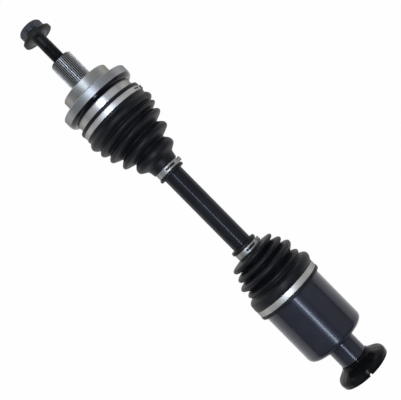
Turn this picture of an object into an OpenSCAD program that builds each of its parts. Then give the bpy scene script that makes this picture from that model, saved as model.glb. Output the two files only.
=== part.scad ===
// Drive axle with a ball joint at the wheel end and a tripod joint at the differential end.
// X runs along the axle, from the hub bolt (-X) to the dust shield (+X), and Z is up.
// The origin is on the axis, in the plane of the shoulder that the wheel hub seats on.

/* [Hub stub] */
// Outside diameter of the hub spline
stub_d = 30.2; // [28:0.2:32]
// Length of the stub in front of the shoulder
stub_length = 42; // [38:1:50]
// Teeth on the hub spline
stub_teeth = 38; // [24:1:42]
// Height of the hub spline's teeth
stub_tooth_h = 0.9; // [0.7:0.1:1.3]
// Chamfer on the end of the stub
stub_chamfer = 1.6; // [1:0.2:3]

/* [Hub bolt] */
// Thread diameter
bolt_d = 16; // [14:0.5:18]
// Length under the flange
bolt_length = 68; // [60:1:74]
// Bare shank between the flange and the end of the stub
bolt_bare = 37.2; // [34:0.2:42]
// Width of the hexagon across its flats
bolt_hex = 27.5; // [24:0.5:30]
// Height of the hexagon above the cone of the flange
bolt_hex_h = 9; // [7:0.5:12]
// Diameter of the flange
bolt_flange_d = 40.8; // [38:0.2:44]
// Height of the flange's straight rim
bolt_rim_h = 4.6; // [3:0.1:6]
// Height of the cone between the rim and the hexagon
bolt_cone_h = 4.6; // [3:0.1:6]

/* [Outer joint housing] */
// Diameter of the shoulder boss
shoulder_d = 67.6; // [62:0.2:74]
// Length of the shoulder boss
shoulder_length = 16.5; // [14:0.5:19]
// Diameter of the flange
flange_d = 98.6; // [94:0.2:104]
// Thickness of the flange
flange_t = 10.7; // [8:0.1:13]
// Length of the rounded back of the flange
back_length = 6.4; // [5:0.1:7]
// Diameter of the bell behind the flange
bell_d = 83.2; // [82:0.2:88]
// Distance from the shoulder to the mouth of the bell
bell_length = 56; // [53:0.5:57]

/* [Outer joint inside] */
// Distance from the shoulder to the centre of the outer joint
outer_centre = 33; // [32:0.5:35]
// Largest bend of the outer joint, in degrees
outer_bend = 40; // [30:1:40]
// Diameter of a ball
ball_d = 16; // [14:0.25:16.5]
// Diameter of the circle that the balls run on
ball_circle_d = 53; // [52:0.5:54]
// Room at the side of a ball in its track
track_room = 0.85; // [0.8:0.05:1.1]
// Wall of the ball cage
cage_t = 5.5; // [4.5:0.1:6]
// Width of the ball cage
cage_w = 26; // [24:0.5:28]
// Width of the inner race
race_w = 21; // [19:0.5:22]
// Room around the spherical faces of the cage
cage_gap = 0.3; // [0.2:0.05:0.5]

/* [Bar] */
// Diameter of the bar
bar_d = 26.4; // [25.6:0.2:28]
// Diameter of the waists beside the joints
waist_d = 24.8; // [24.4:0.2:25.6]
// Distance from the outer joint's centre to the end of its waist
outer_waist_l = 47; // [40:1:60]
// Distance from the inner joint's centre to the end of its waist
inner_waist_l = 75; // [65:1:80]
// Outside diameter of the splines on both ends of the bar
bar_spline_d = 24; // [23:0.2:24.2]
// Teeth on those splines
bar_teeth = 26; // [20:1:30]
// Height of those teeth
bar_tooth_h = 0.9; // [0.6:0.1:1.2]
// Distance between the centres of the two joints
joint_distance = 352; // [340:1:420]

/* [Outer boot] */
// Distance from the shoulder to the lip of the boot's large end
outer_boot_at = 43; // [41:0.5:45]
// Wall of both boots
boot_wall = 2; // [1.6:0.1:2.4]
// Wall of the large collars under their clamps
large_collar_t = 3; // [2.4:0.1:3.6]
// Wall of the small collars under their clamps
small_collar_t = 2.5; // [2:0.1:3]
// How far the large lips stand above their collars
large_lip_h = 1.8; // [1:0.1:2.4]
// How far the small lips stand above their collars
small_lip_h = 2.4; // [1:0.1:3]
// Width of the outer boot's large lip
outer_lip_w = 4.4; // [3:0.1:6]
// Length of the outer boot's folds, between its two bands
outer_bellows_l = 87.2; // [84:0.2:92]
// Width of the lip at the outer boot's small end
outer_end_lip_w = 4.2; // [3:0.1:6]

/* [Inner boot] */
// Width of the lip at the inner boot's small end
inner_end_lip_w = 5.1; // [3:0.1:6]
// Distance from the tripod's centre to that lip
inner_boot_reach = 111.2; // [109:0.2:115]
// Length of the inner boot's folds, between its two bands
inner_bellows_l = 59.5; // [57:0.5:61]
// How far that boot's large lip stands above its collar
inner_lip_h = 1.4; // [0.8:0.1:2]
// Width of the inner boot's large lip
inner_lip_w = 4.4; // [3:0.1:6]

/* [Clamps] */
// Thickness of the clamp bands
band_t = 0.8; // [0.6:0.1:1.2]
// Width of the outer boot's large band
outer_band_w = 6.8; // [6:0.1:8]
// Width of the inner boot's large band
inner_band_w = 7.6; // [6:0.1:8]
// Width of the small bands
small_band_w = 7.4; // [6:0.1:8]
// Height of the pinched ears above the small bands
ear_h = 3.6; // [2:0.1:5]
// Height of the pinched ear above the outer boot's large band
large_ear_h = 2.5; // [1.5:0.1:4]
// Width of an ear, as a share of its band
ear_share = 0.75; // [0.5:0.05:0.9]
// Width of the pinched ears around the band
ear_w = 8; // [6:0.2:10]
// Width of the slot in a small band
slot_w = 2.2; // [1.6:0.1:3]
// Length of that slot, in degrees around the band
slot_turn = 46; // [30:1:60]
// How far that slot starts before the top, in degrees
slot_lead = 8; // [0:1:20]

/* [Inner joint housing] */
// Diameter of the can
can_d = 84; // [83:0.2:88]
// Distance from the mouth of the can to the tripod's centre
can_mouth = 39; // [38:0.5:42]
// Distance from the tripod's centre to the end face of the can
can_end = 51.8; // [50:0.2:60]
// Thickness of the can's end wall
can_end_t = 8.8; // [8:0.1:12]
// Bevel around the can's end
can_round = 6.2; // [3:0.2:7]
// Diameter of the neck
neck_d = 37.6; // [37:0.2:40]
// Length of the neck
neck_length = 41.2; // [40:0.2:46]
// Diameter of the spigot that the dust shield sits on
spigot_d = 34.4; // [33.4:0.2:35]
// Length of the spigot
spigot_length = 11.2; // [10:0.2:12]
// Diameter of the plain pilot bore in the neck
pilot_d = 28; // [27:0.2:29]
// Length of the pilot bore
pilot_length = 12; // [10:0.5:14]
// Outside diameter of the spline inside the neck
neck_spline_d = 26.8; // [25:0.2:26.8]
// Teeth of the spline inside the neck
neck_teeth = 28; // [20:1:32]
// Length of the spline inside the neck
neck_spline_length = 23; // [20:0.5:24]

/* [Tripod] */
// Largest bend of the inner joint, in degrees
inner_bend = 15; // [10:1:15]
// How far the can slides towards the wheel
plunge_in = 12; // [8:1:14]
// How far the can slides away from the wheel
plunge_out = 12; // [8:1:12]
// Diameter of the circle through the rollers' middles
tripod_circle_d = 44; // [43.5:0.1:45]
// Diameter of a roller's spherical face
roller_d = 30; // [29:0.2:31]
// Width of a roller
roller_w = 13; // [11:0.2:13]
// Room around a roller in its track
roller_room = 0.5; // [0.45:0.05:0.8]
// Diameter of a trunnion
trunnion_d = 16; // [14:0.2:16.4]
// Diameter of a needle
needle_d = 2.5; // [2:0.1:2.8]
// Diameter of the spider's hub
spider_d = 34; // [32:0.5:36]
// Width of the spider's hub
spider_w = 24; // [22:0.5:25]
// Diameter of the bore between the tracks
core_d = 48; // [46:0.5:50]

/* [Dust shield] */
// Widest diameter of the shield
shield_d = 71.2; // [66:0.2:76]
// Length of the shield along the axle
shield_length = 21.4; // [20:0.2:25]
// Wall of the shield
shield_wall = 2.2; // [1.6:0.1:3]
// How far the skirt draws in towards the rim
skirt_draw = 0.8; // [0:0.1:2]
// Ribs on the flare
rib_count = 8; // [4:1:12]
// Height of a rib above the flare
rib_h = 0.8; // [0.4:0.1:1.2]
// Thickness of a rib
rib_t = 1.6; // [1:0.1:3]
// Width of the notch in the rim
notch_w = 3.6; // [2:0.2:6]
// Depth of the notch in the rim
notch_depth = 2.4; // [1:0.2:4]

/* [Rings] */
// Thickness of the circlips on the bar
circlip_t = 1.6; // [1.2:0.1:2]
// Height of the circlips on the bar
circlip_h = 3.2; // [2.5:0.1:4]
// Thickness of the snap rings on the trunnions
snap_t = 1.2; // [0.8:0.1:1.4]
// Height of the snap rings on the trunnions
snap_h = 2.2; // [1.6:0.1:2.6]
// Thickness of the roller washers
washer_t = 0.8; // [0.6:0.1:1.2]
// Diameter of the roller washers
washer_d = 23; // [22:0.2:24]
// Opening of the circlips and snap rings, in degrees
ring_open = 40; // [20:1:60]
// Diameter of the wire ring in the can's mouth
wire_d = 2.4; // [1.6:0.1:2.4]
// Mean diameter of that ring
wire_ring_d = 67; // [66:0.5:69]
// Diameter of the plug in the can's end wall
plug_d = 31; // [30:0.2:33]
// Thickness of the plug
plug_t = 4; // [3:0.1:5]

/* [Hidden] */
$fn = 96;
BALLS = 6;
TRUNNIONS = 3;

// Clearances: pieces that sit on each other, pieces that face each other, and cutters past a face.
// Then the bevel that breaks a sharp edge.
seat_gap = 0.05;
face_gap = 0.1;
past = 1;
edge_bevel = 0.5;

// Colours
bright_steel = [0.72, 0.73, 0.74];
hard_steel = [0.55, 0.56, 0.58];
stainless = [0.80, 0.80, 0.79];
bolt_black = [0.12, 0.13, 0.15];
bar_black = [0.05, 0.05, 0.055];
rubber_black = [0.04, 0.042, 0.048];
plastic_black = [0.05, 0.05, 0.06];

// Places along the axle
inner_centre = outer_centre + joint_distance;
stub_end = -stub_length;
bolt_seat = stub_end - bolt_bare;
bolt_tip = bolt_seat + bolt_length;
bolt_top = bolt_seat - bolt_rim_h - bolt_cone_h - bolt_hex_h;
bolt_tip_room = 3;
flange_front = shoulder_length;
flange_back = flange_front + flange_t;
bell_front = flange_back + back_length;

// Outer joint: the cage turns by half of the bend
ball_circle_r = ball_circle_d / 2;
half_bend = outer_bend / 2;
track_r = ball_d / 2 + track_room;
cage_out_r = ball_circle_r + cage_t / 2 + cage_gap;
cage_in_r = cage_out_r - cage_t;
bell_sphere_r = cage_out_r + cage_gap;
race_sphere_r = cage_in_r - cage_gap;
cage_corner_r = sqrt(cage_out_r ^ 2 - (cage_w / 2) ^ 2);
cage_reach = cage_w / 2 * cos(half_bend) + cage_corner_r * sin(half_bend);
cage_back_room = 1.2;
ball_side_room = 0.7;
cavity_back = outer_centre - cage_reach - cage_back_room;
window_l = ball_d + 2 * seat_gap;
window_w = ball_d + 2 * ball_side_room;
// How far round from the ball plane a track runs towards the back and towards the mouth, in degrees
track_back = 40;
track_mouth = 75;
mouth_room = 1.2;
mouth_from = outer_centre + ball_d / 2;
function mouth_r(x) = (x - outer_centre) * tan(outer_bend) + waist_d / 2 / cos(outer_bend) + mouth_room;

// Bar
bar_spline_r = bar_spline_d / 2;
race_back = outer_centre - race_w / 2;
race_front = outer_centre + race_w / 2;
bar_end_room = 3;
outer_circlip_at = race_back - face_gap - circlip_t;
bar_outer_end = outer_circlip_at - bar_end_room;
outer_waist_end = outer_centre + outer_waist_l;
spider_back = inner_centre - spider_w / 2;
spider_front = inner_centre + spider_w / 2;
stop_ring_at = spider_back - face_gap - circlip_t;
inner_circlip_at = spider_front + face_gap;
bar_inner_end = inner_circlip_at + circlip_t + bar_end_room;
inner_waist_start = inner_centre - inner_waist_l;
waist_taper = 10;
groove_depth = 1.3;
bar_chamfer = 1;

// Inner joint housing
can_start = inner_centre - can_mouth;
can_stop = inner_centre + can_end;
can_floor = can_stop - can_end_t;
neck_stop = can_stop + neck_length;
spigot_start = neck_stop - spigot_length;
pilot_start = neck_stop - pilot_length;
seal_relief_l = 3;
seal_relief_h = 2;
seal_relief_d = pilot_d + 2 * seal_relief_h;
spline_stop = pilot_start - seal_relief_l;
spline_start = spline_stop - neck_spline_length;
neck_tooth_h = 1;
track_circle_r = tripod_circle_d / 2;
can_track_r = roller_d / 2 + roller_room;
core_r = core_d / 2;
relief_length = 20;
relief_room = 2;
relief_r = (can_mouth + plunge_in) * tan(inner_bend) + waist_d / 2 / cos(inner_bend) + relief_room;

// Tripod: the wire ring stops the rollers just past the end of their slide
trunnion_r = trunnion_d / 2;
wire_room = 1.5;
roller_reach = roller_d / 2 + track_circle_r * sin(inner_bend);
wire_ring_at = can_mouth - plunge_out - roller_reach - wire_room - wire_d / 2;
roller_in = track_circle_r - roller_w / 2;
roller_out = track_circle_r + roller_w / 2;
roller_side_room = 0.2;
washer_at = roller_out + roller_side_room;
snap_at = washer_at + washer_t + face_gap;
snap_groove_depth = 0.8;
trunnion_end = snap_at + snap_t + 2 * edge_bevel;
spider_flat = roller_in - roller_side_room;
needle_row_r = trunnion_r + seat_gap + needle_d / 2;
needle_count = floor(360 / (2 * asin((needle_d / 2 + seat_gap) / needle_row_r)));
roller_bore_r = needle_row_r + needle_d / 2 + seat_gap;
needle_side_room = 0.1;

// Boot seats and bands
lip_bevel = 0.6;
lip_draft = 0.2;
bell_r = bell_d / 2;
can_r = can_d / 2;
bar_r = bar_d / 2;
outer_collar_r = bell_r + seat_gap + large_collar_t;
inner_collar_r = can_r + seat_gap + large_collar_t;
small_collar_r = bar_r + seat_gap + small_collar_t;
outer_band_at = outer_boot_at + outer_lip_w;
outer_folds_at = outer_band_at + outer_band_w;
outer_flare_end = outer_folds_at + outer_bellows_l;
outer_small_band_at = outer_flare_end + lip_bevel;
outer_boot_end = outer_small_band_at + small_band_w + outer_end_lip_w;
inner_boot_at = inner_centre - inner_boot_reach;
inner_small_band_at = inner_boot_at + inner_end_lip_w;
inner_folds_at = inner_small_band_at + small_band_w;
inner_band_at = inner_folds_at + inner_bellows_l;
inner_boot_end = inner_band_at + inner_band_w + inner_lip_w;

// Hollows and crests of the folds in turn, each as a share of the way from the hub's band to the other one,
// a share of the way out from the small collar to the large one, and half the width of the crest's flat
outer_fold_shares = [
    [0.044, 1.022, 0], [0.128, 1.168, 1.6], [0.208, 1.005, 0], [0.249, 1.071, 0.8], [0.330, 0.846, 0],
    [0.391, 0.970, 1], [0.498, 0.590, 0], [0.589, 0.773, 1.4], [0.686, 0.341, 0], [0.789, 0.462, 2.4],
    [0.890, 0.145, 0]
];
inner_fold_shares = [
    [0.084, 0.575, 1.9], [0.163, 0.367, 0], [0.269, 0.722, 1.9], [0.341, 0.609, 0], [0.447, 0.903, 2],
    [0.587, 0.623, 0], [0.671, 0.855, 0.8], [0.721, 0.841, 0], [0.869, 1.077, 2.2]
];
fold_start = 0.4;
fold_end = 0.2;
// The inside runs a wall behind the outside, so its crests are narrower and its hollows are wider
flank_share = 0.8;
function folds(shares, length, large_r, first_r, last_r, shrink) = concat(
    [[fold_start, first_r - shrink]],
    [for (f = shares, side = [-1, 1]) let (flat = abs(f[2] - flank_share * shrink)) if (flat > 0 || side > 0)
        [f[0] * length + side * flat, small_collar_r + f[1] * (large_r - small_collar_r) - shrink]],
    [[length - fold_end, last_r - shrink]]
);
function outer_folds(shrink) = eased(folds(
    outer_fold_shares, outer_bellows_l, outer_collar_r, outer_collar_r + large_lip_h, small_collar_r + small_lip_h,
    shrink
), outer_folds_at);
function inner_folds(shrink) = eased(folds(
    inner_fold_shares, inner_bellows_l, inner_collar_r, small_collar_r + small_lip_h, inner_collar_r + lip_bevel,
    shrink
), inner_folds_at);

// Shapes that repeat

// A rod along the axle
module rod(from, to, r) {
    translate([from, 0, 0]) rotate([0, 90, 0]) cylinder(h = to - from, r = r);
}

// A ring along the axle
module ring(from, to, r_out, r_in) {
    difference() {
        rod(from, to, r_out);
        rod(from - past, to + past, r_in);
    }
}

// A body turned about the axle from an outline of [radius, place] points
module turned(outline) {
    rotate([0, 90, 0]) rotate_extrude() polygon(outline);
}

// Copies spread evenly round the axle, the first one towards +Z
module around(count) {
    for (k = [0:count - 1]) rotate([k * 360 / count, 0, 0]) children();
}

// One copy out of such a ring, counted from 1
module nth(k, count) {
    rotate([(k - 1) * 360 / count, 0, 0]) children();
}

// The outline of a spline with straight-sided teeth, grown all round by a gap
function spline_outline(teeth, r, h, gap = 0) = [
    for (k = [0:teeth - 1])
    for (c = [[-0.3, r - h], [-0.19, r], [0.19, r], [0.3, r - h]])
    let (grown = c[1] + gap, turn = (k + c[0]) * 360 / teeth + sign(c[0]) * gap / grown * 180 / PI)
    [grown * cos(turn), grown * sin(turn)]
];

// A splined length along the axle
module spline(from, to, teeth, r, h, gap = 0) {
    translate([from, 0, 0]) rotate([0, 90, 0])
        linear_extrude(height = to - from) polygon(spline_outline(teeth, r, h, gap));
}

// A ring with an opening, seen along Z, as a circlip or snap ring has
module open_ring(t, r_in, h) {
    rotate([0, 0, ring_open / 2 + 90]) rotate_extrude(angle = 360 - ring_open)
        translate([r_in, 0]) square([h, t]);
}

// A fold outline eased from point to point, so that crests and hollows are round
EASE_STEPS = 5;
function eased(points, from) = [
    for (i = [0:len(points) - 2])
    let (a = points[i], b = points[i + 1], steps = a[1] == b[1] ? 1 : EASE_STEPS)
    for (s = [0:steps - 1])
    let (t = s / steps, w = (1 - cos(180 * t)) / 2)
    [a[1] + (b[1] - a[1]) * w, from + a[0] + (b[0] - a[0]) * t]
];
function backwards(list) = [for (i = [len(list) - 1:-1:0]) list[i]];

// A band around a boot collar
module band(from, width, r) {
    ring(from, from + width, r + band_t, r);
}

// The pinched ear of a clamp, at +Y: a low hollow arch across the band
module ear(from, width, r, height) {
    foot = r + band_t / 2;
    top = r + band_t + height;
    difference() {
        translate([from, 0, 0]) rotate([0, 90, 0]) linear_extrude(height = width)
            polygon([[-ear_w / 2, foot], [-ear_w / 3, top], [ear_w / 3, top], [ear_w / 2, foot]]);
        translate([from - past, 0, 0]) rotate([0, 90, 0]) linear_extrude(height = width + 2 * past)
            polygon([
                [-ear_w / 2 + 2 * band_t, foot - past], [-ear_w / 3 + band_t, top - band_t],
                [ear_w / 3 - band_t, top - band_t], [ear_w / 2 - 2 * band_t, foot - past]
            ]);
        rod(from - past, from + width + past, r);
    }
}

// The tracks of the balls, arcs about the joint's centre that open at the mouth
module ball_tracks() {
    translate([outer_centre, 0, 0]) around(BALLS)
        rotate([90, 0, 0]) rotate([0, 0, 90 - track_mouth])
            rotate_extrude(angle = track_mouth + track_back) translate([ball_circle_r, 0]) circle(r = track_r);
}

// Outer joint

module outer_joint_housing() {
    color(bright_steel) difference() {
        union() {
            intersection() {
                spline(stub_end, past, stub_teeth, stub_d / 2, stub_tooth_h);
                turned([
                    [0, stub_end], [stub_d / 2 - stub_chamfer, stub_end],
                    [stub_d / 2 + past, stub_end + stub_chamfer + past], [stub_d / 2 + past, past], [0, past]
                ]);
            }
            turned([
                [0, 0], [shoulder_d / 2 - past, 0], [shoulder_d / 2, past], [shoulder_d / 2, flange_front],
                [flange_d / 2 - past, flange_front], [flange_d / 2, flange_front + past],
                [flange_d / 2, flange_back],
                for (a = [15:15:90])
                    [bell_r + (flange_d / 2 - bell_r) * cos(a), flange_back + back_length * sin(a)],
                [bell_r, bell_length], [0, bell_length]
            ]);
        }
        rod(stub_end - past, bolt_tip + bolt_tip_room, bolt_d / 2 + seat_gap);
        intersection() {
            translate([outer_centre, 0, 0]) sphere(r = bell_sphere_r);
            rod(cavity_back, bell_length, flange_d);
        }
        turned([
            [0, mouth_from], [mouth_r(mouth_from), mouth_from],
            [mouth_r(bell_length + past), bell_length + past], [0, bell_length + past]
        ]);
        ball_tracks();
    }
}

module hub_bolt() {
    hex_r = bolt_hex / 2 / cos(30);
    hex_bevel = 1.8;
    tip_bevel = 1.5;
    cone_top = bolt_seat - bolt_rim_h - bolt_cone_h;
    color(bolt_black) union() {
        intersection() {
            translate([bolt_top, 0, 0]) rotate([0, 90, 0]) rotate([0, 0, 30])
                cylinder(h = bolt_seat - bolt_top, r = hex_r, $fn = 6);
            turned([
                [0, bolt_top], [bolt_hex / 2 - edge_bevel, bolt_top], [hex_r + face_gap, bolt_top + hex_bevel],
                [hex_r + face_gap, bolt_seat - bolt_rim_h], [0, bolt_seat - bolt_rim_h]
            ]);
        }
        turned([
            [0, cone_top], [bolt_hex / 2 - past, cone_top], [bolt_flange_d / 2, bolt_seat - bolt_rim_h],
            [bolt_flange_d / 2, bolt_seat - edge_bevel], [bolt_flange_d / 2 - edge_bevel, bolt_seat],
            [bolt_d / 2, bolt_seat], [bolt_d / 2, bolt_tip - tip_bevel], [bolt_d / 2 - tip_bevel, bolt_tip],
            [0, bolt_tip]
        ]);
    }
}

module outer_inner_race() {
    color(hard_steel) difference() {
        intersection() {
            translate([outer_centre, 0, 0]) sphere(r = race_sphere_r);
            rod(race_back, race_front, race_sphere_r + past);
        }
        ball_tracks();
        spline(race_back - past, race_front + past, bar_teeth, bar_spline_r, bar_tooth_h, seat_gap);
    }
}

module outer_cage() {
    color(hard_steel) difference() {
        intersection() {
            translate([outer_centre, 0, 0]) sphere(r = cage_out_r);
            rod(outer_centre - cage_w / 2, outer_centre + cage_w / 2, cage_out_r + past);
        }
        translate([outer_centre, 0, 0]) sphere(r = cage_in_r);
        around(BALLS) translate([outer_centre - window_l / 2, -window_w / 2, ball_circle_r - ball_d / 2])
            cube([window_l, window_w, ball_d]);
    }
}

module outer_ball(k) {
    color(bright_steel) nth(k, BALLS) translate([outer_centre, 0, ball_circle_r]) sphere(r = ball_d / 2);
}

module outer_boot() {
    seat_r = bell_r + seat_gap;
    grip_r = bar_r + seat_gap;
    lip_r = outer_collar_r + large_lip_h;
    end_lip_r = small_collar_r + small_lip_h;
    end_lip_at = outer_boot_end - outer_end_lip_w;
    hollow_from = max(bell_length + face_gap, outer_folds_at + fold_start);
    color(rubber_black) turned(concat(
        [[seat_r, outer_boot_at], [lip_r - lip_bevel, outer_boot_at], [lip_r, outer_boot_at + lip_bevel],
            [lip_r, outer_band_at - 2 * lip_draft], [outer_collar_r, outer_band_at - lip_draft],
            [outer_collar_r, outer_folds_at + lip_draft]],
        outer_folds(0),
        [[end_lip_r, outer_flare_end], [small_collar_r, outer_flare_end + lip_draft],
            [small_collar_r, end_lip_at + lip_draft], [end_lip_r, end_lip_at + lip_bevel],
            [end_lip_r, outer_boot_end - lip_bevel], [end_lip_r - lip_bevel, outer_boot_end],
            [grip_r, outer_boot_end], [grip_r, outer_flare_end]],
        backwards([for (p = outer_folds(boot_wall)) if (p[1] > hollow_from) p]),
        [[seat_r, hollow_from]]
    ));
}

module outer_boot_large_clamp() {
    r = outer_collar_r + seat_gap;
    color(stainless) union() {
        band(outer_band_at, outer_band_w, r);
        ear(outer_band_at + outer_band_w * (1 - ear_share) / 2, outer_band_w * ear_share, r, large_ear_h);
    }
}

module small_clamp(from) {
    r = small_collar_r + seat_gap;
    color(stainless) difference() {
        union() {
            band(from, small_band_w, r);
            ear(from + small_band_w * (1 - ear_share) / 2, small_band_w * ear_share, r, ear_h);
        }
        rotate([-slot_turn + slot_lead, 0, 0]) translate([from + (small_band_w - slot_w) / 2, 0, 0])
            rotate([0, 90, 0]) rotate([0, 0, 180]) rotate_extrude(angle = slot_turn)
                translate([r - past, 0]) square([band_t + 2 * past, slot_w]);
    }
}

module outer_boot_small_clamp() {
    small_clamp(outer_small_band_at);
}

// Bar

module axle_bar() {
    root_r = bar_spline_r - bar_tooth_h;
    color(bar_black) difference() {
        union() {
            turned([
                [0, bar_outer_end], [root_r - bar_chamfer, bar_outer_end], [root_r, bar_outer_end + bar_chamfer],
                [root_r, race_front + face_gap], [waist_d / 2, race_front + face_gap],
                [waist_d / 2, outer_waist_end], [bar_r, outer_waist_end + waist_taper],
                [bar_r, inner_waist_start - waist_taper], [waist_d / 2, inner_waist_start],
                [waist_d / 2, spider_back - face_gap], [root_r, spider_back - face_gap],
                [root_r, bar_inner_end - bar_chamfer], [root_r - bar_chamfer, bar_inner_end], [0, bar_inner_end]
            ]);
            spline(bar_outer_end + bar_chamfer, race_front + 2 * face_gap, bar_teeth, bar_spline_r, bar_tooth_h);
            spline(spider_back - 2 * face_gap, bar_inner_end - bar_chamfer, bar_teeth, bar_spline_r, bar_tooth_h);
        }
        ring(outer_circlip_at - seat_gap, outer_circlip_at + circlip_t + seat_gap, bar_d, root_r - groove_depth);
        ring(inner_circlip_at - seat_gap, inner_circlip_at + circlip_t + seat_gap, bar_d, root_r - groove_depth);
        ring(stop_ring_at - seat_gap, stop_ring_at + circlip_t + face_gap + past, bar_d, root_r - groove_depth);
    }
}

// Inner joint

module inner_joint_housing() {
    color(bar_black) difference() {
        turned([
            [0, can_start], [can_r - past, can_start], [can_r, can_start + past], [can_r, can_stop - can_round],
            for (a = [22.5:22.5:67.5])
                [can_r - can_round * (1 - cos(a)), can_stop - can_round * (1 - sin(a))],
            [can_r - can_round, can_stop], [neck_d / 2, can_stop], [neck_d / 2, spigot_start],
            [spigot_d / 2, spigot_start], [spigot_d / 2, neck_stop - edge_bevel],
            [spigot_d / 2 - edge_bevel, neck_stop], [0, neck_stop]
        ]);
        rod(can_start - past, can_floor, core_r);
        turned([
            [0, can_start - past], [relief_r, can_start - past], [core_r - past, can_start + relief_length],
            [0, can_start + relief_length]
        ]);
        around(TRUNNIONS) translate([0, 0, track_circle_r]) rod(can_start - past, can_floor, can_track_r);
        ring(
            can_start + wire_ring_at - wire_d / 2 - face_gap, can_start + wire_ring_at + wire_d / 2 + face_gap,
            wire_ring_d / 2 + wire_d / 2 + face_gap, relief_r - 2 * past
        );
        rod(can_floor - past, can_floor + plug_t, plug_d / 2 + seat_gap);
        rod(can_floor, spline_start, pilot_d / 2);
        spline(spline_start - past, spline_stop + past, neck_teeth, neck_spline_d / 2, neck_tooth_h);
        rod(spline_stop, pilot_start, seal_relief_d / 2);
        rod(pilot_start - past, neck_stop + past, pilot_d / 2);
    }
}

module tripod_spider() {
    color(hard_steel) difference() {
        union() {
            difference() {
                rod(spider_back, spider_front, spider_d / 2);
                around(TRUNNIONS) translate([inner_centre, 0, spider_flat])
                    cylinder(h = spider_d, r = spider_d / 2);
            }
            around(TRUNNIONS) translate([inner_centre, 0, bar_spline_r])
                cylinder(h = trunnion_end - bar_spline_r, r = trunnion_r);
        }
        spline(spider_back - past, spider_front + past, bar_teeth, bar_spline_r, bar_tooth_h, seat_gap);
        around(TRUNNIONS) translate([inner_centre, 0, snap_at - seat_gap]) difference() {
            cylinder(h = snap_t + 2 * seat_gap, r = trunnion_d);
            translate([0, 0, -past]) cylinder(h = snap_t + 2 * past, r = trunnion_r - snap_groove_depth);
        }
    }
}

module bar_ring(from) {
    color(hard_steel) translate([from, 0, 0]) rotate([0, 90, 0])
        open_ring(circlip_t, bar_spline_r - groove_depth - bar_tooth_h + seat_gap, circlip_h);
}

module tripod_roller(k) {
    color(hard_steel) nth(k, TRUNNIONS) translate([inner_centre, 0, 0]) difference() {
        intersection() {
            translate([0, 0, track_circle_r]) sphere(r = roller_d / 2);
            translate([0, 0, roller_in]) cylinder(h = roller_w, r = roller_d);
        }
        translate([0, 0, roller_in - past]) cylinder(h = roller_w + 2 * past, r = roller_bore_r);
    }
}

module roller_needles(k) {
    color(bright_steel) nth(k, TRUNNIONS) translate([inner_centre, 0, roller_in + needle_side_room])
        for (n = [0:needle_count - 1]) rotate([0, 0, n * 360 / needle_count]) translate([needle_row_r, 0, 0])
            cylinder(h = roller_w - 2 * needle_side_room, r = needle_d / 2);
}

module roller_washer(k) {
    color(hard_steel) nth(k, TRUNNIONS) translate([inner_centre, 0, washer_at]) difference() {
        cylinder(h = washer_t, r = washer_d / 2);
        translate([0, 0, -past]) cylinder(h = washer_t + 2 * past, r = trunnion_r + seat_gap);
    }
}

module roller_snap_ring(k) {
    color(hard_steel) nth(k, TRUNNIONS) translate([inner_centre, 0, snap_at])
        open_ring(snap_t, trunnion_r - snap_groove_depth + seat_gap, snap_h);
}

module tripod_wire_ring() {
    color(hard_steel) translate([can_start + wire_ring_at, 0, 0]) rotate([0, 90, 0])
        rotate([0, 0, 90]) rotate_extrude(angle = 360 - ring_open)
            translate([wire_ring_d / 2, 0]) circle(d = wire_d);
}

module can_plug() {
    color(bright_steel) turned([
        [0, can_floor], [plug_d / 2 - edge_bevel, can_floor], [plug_d / 2, can_floor + edge_bevel],
        [plug_d / 2, can_floor + plug_t - seat_gap], [0, can_floor + plug_t - seat_gap]
    ]);
}

// The flare leaves the neck at once as a cone and rounds into the skirt. Its points are shares of the shield's
// length, and of the way out from the neck to the widest place.
flare_shares = [[0, 0], [0.20, 0.25], [0.32, 0.55], [0.48, 0.83], [0.56, 0.95], [0.66, 1]];
shield_start = neck_stop - spigot_length + face_gap;
shield_rim = shield_start + shield_length;
flare_root_r = neck_d / 2 + 2 * face_gap;
rim_bevel = 0.6;
slant = 0.7;
function flare(first, shrink) = [
    for (i = [first:len(flare_shares) - 1]) let (f = flare_shares[i]) [
        flare_root_r + f[1] * (shield_d / 2 - flare_root_r) - slant * shrink,
        shield_start + f[0] * shield_length + slant * shrink
    ]
];

module dust_shield() {
    rim_r = shield_d / 2 - skirt_draw;
    sleeve_r = spigot_d / 2 + seat_gap;
    inside = flare(2, shield_wall);
    color(plastic_black) difference() {
        union() {
            turned(concat(
                [[sleeve_r, shield_start]],
                flare(0, 0),
                [[rim_r, shield_rim - rim_bevel], [rim_r - rim_bevel, shield_rim], [rim_r - shield_wall, shield_rim]],
                backwards(inside),
                [[sleeve_r + shield_wall, inside[0][1]], [sleeve_r + shield_wall, neck_stop], [sleeve_r, neck_stop]]
            ));
            around(rib_count) rotate([90, 0, 0]) linear_extrude(height = rib_t, center = true) polygon([
                for (p = concat(flare(1, -rib_h), backwards(flare(1, shield_wall / 2)))) [p[1], p[0]]
            ]);
        }
        translate([shield_rim - notch_depth, -notch_w / 2, rim_r - shield_wall - past])
            cube([notch_depth + past, notch_w, shield_wall + 3 * past]);
    }
}

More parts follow.
